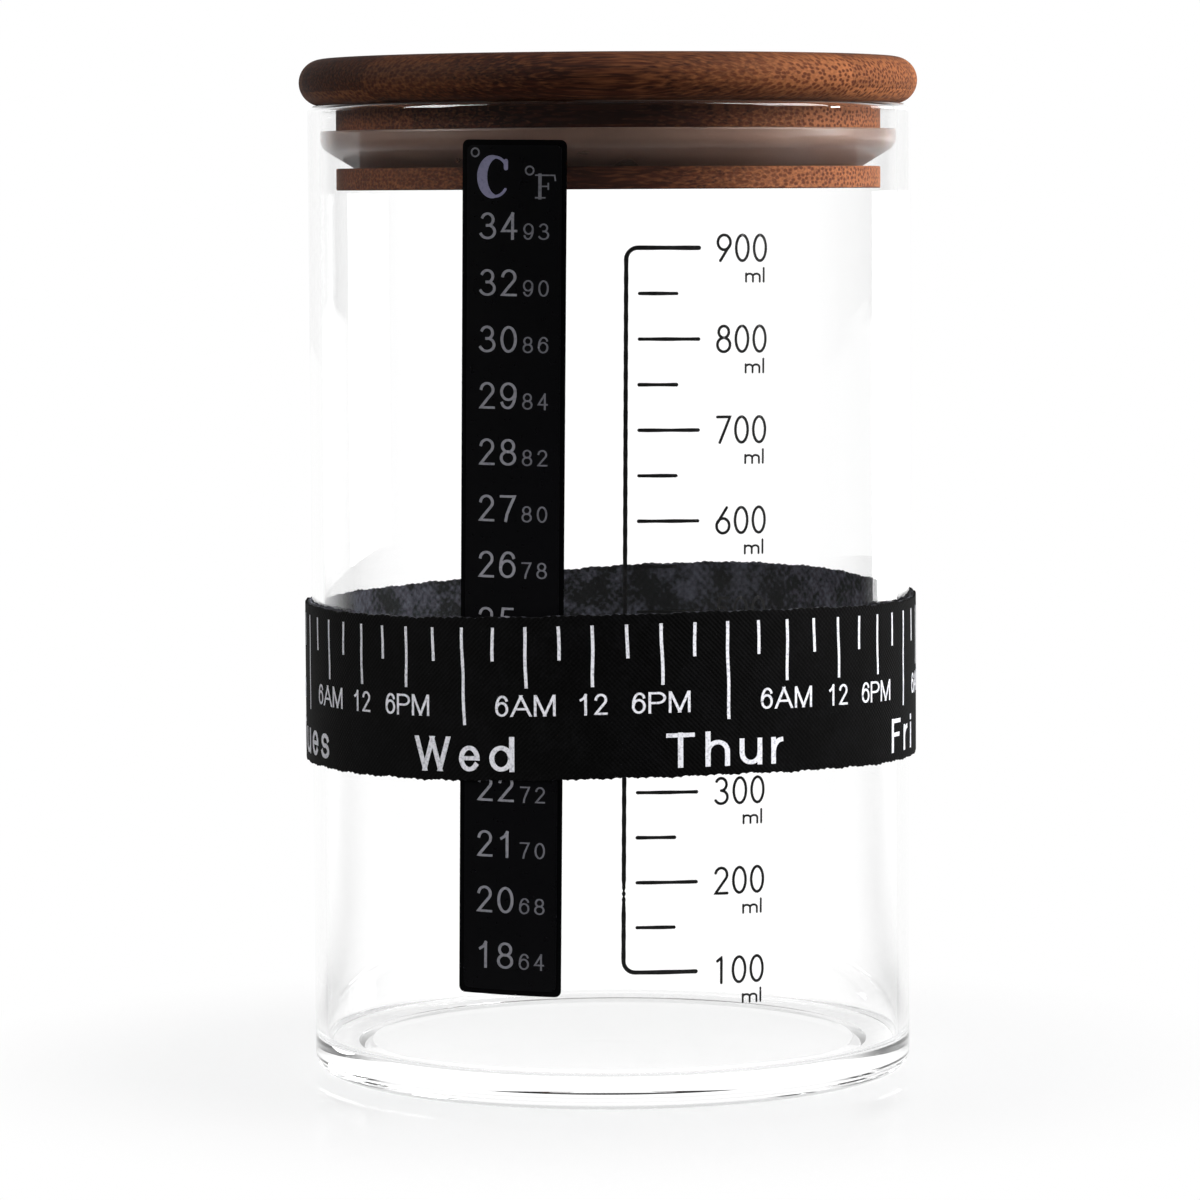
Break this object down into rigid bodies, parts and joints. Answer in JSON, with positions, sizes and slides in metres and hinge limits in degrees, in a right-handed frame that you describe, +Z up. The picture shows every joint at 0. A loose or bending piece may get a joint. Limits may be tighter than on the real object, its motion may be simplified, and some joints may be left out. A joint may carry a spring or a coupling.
{
  "type": "sourdough starter jar",
  "caption": "Straight glass jar with a bamboo plug lid and silicone seal, a printed volume scale, a stick-on temperature strip and a sliding elastic weekday band.",
  "frame": {"origin": "centre of the ring that the jar stands on, on the table's surface", "axes": "+Z up along the jar's axis, -Y towards the printed volume scale at the front, +X to the right as seen from the front"},
  "size_m": [0.0914, 0.0914, 0.15],
  "materials": {
    "clear_glass": "clear polished",
    "black_enamel": "fired enamel, satin",
    "black_film": "gloss",
    "crystal_panel": "gloss",
    "clear_film": "gloss",
    "disc_bamboo": "oiled, satin",
    "plug_bamboo": "oiled, satin",
    "silicone": "translucent, matt",
    "woven_elastic": "woven",
    "band_cloth": "matt",
    "white_print": "matt print",
    "black_thread": "matt thread"
  },
  "bodies": {
    "jar": {"glass_jar": "clear_glass", "volume_scale_marks": "black_enamel", "strip_backing": "black_film", "strip_panel": "crystal_panel", "strip_cover": "clear_film"},
    "seal": {"seal_ring": "silicone"},
    "lid": {"lid_disc": "disc_bamboo", "lid_plug": "plug_bamboo"},
    "band_inner": {"band_backing": "woven_elastic"},
    "band": {"band_face": "band_cloth", "band_marks": "white_print", "band_stitching": "black_thread"}
  },
  "joints": [
    {"name": "lid_lift", "type": "slide", "parent": "jar", "child": "seal", "axis": [0, 0, 1], "range_m": [0, 0.08]},
    {"name": "lid_turn", "type": "hinge", "parent": "seal", "child": "lid", "pos_m": [0, 0, 0.1367], "axis": [0, 0, 1], "continuous": true},
    {"name": "band_slide", "type": "slide", "parent": "jar", "child": "band_inner", "axis": [0, 0, 1], "range_m": [-0.0415, 0.071]},
    {"name": "band_turn", "type": "hinge", "parent": "band_inner", "child": "band", "pos_m": [0, 0, 0.0591], "axis": [0, 0, 1], "continuous": true}
  ]
}
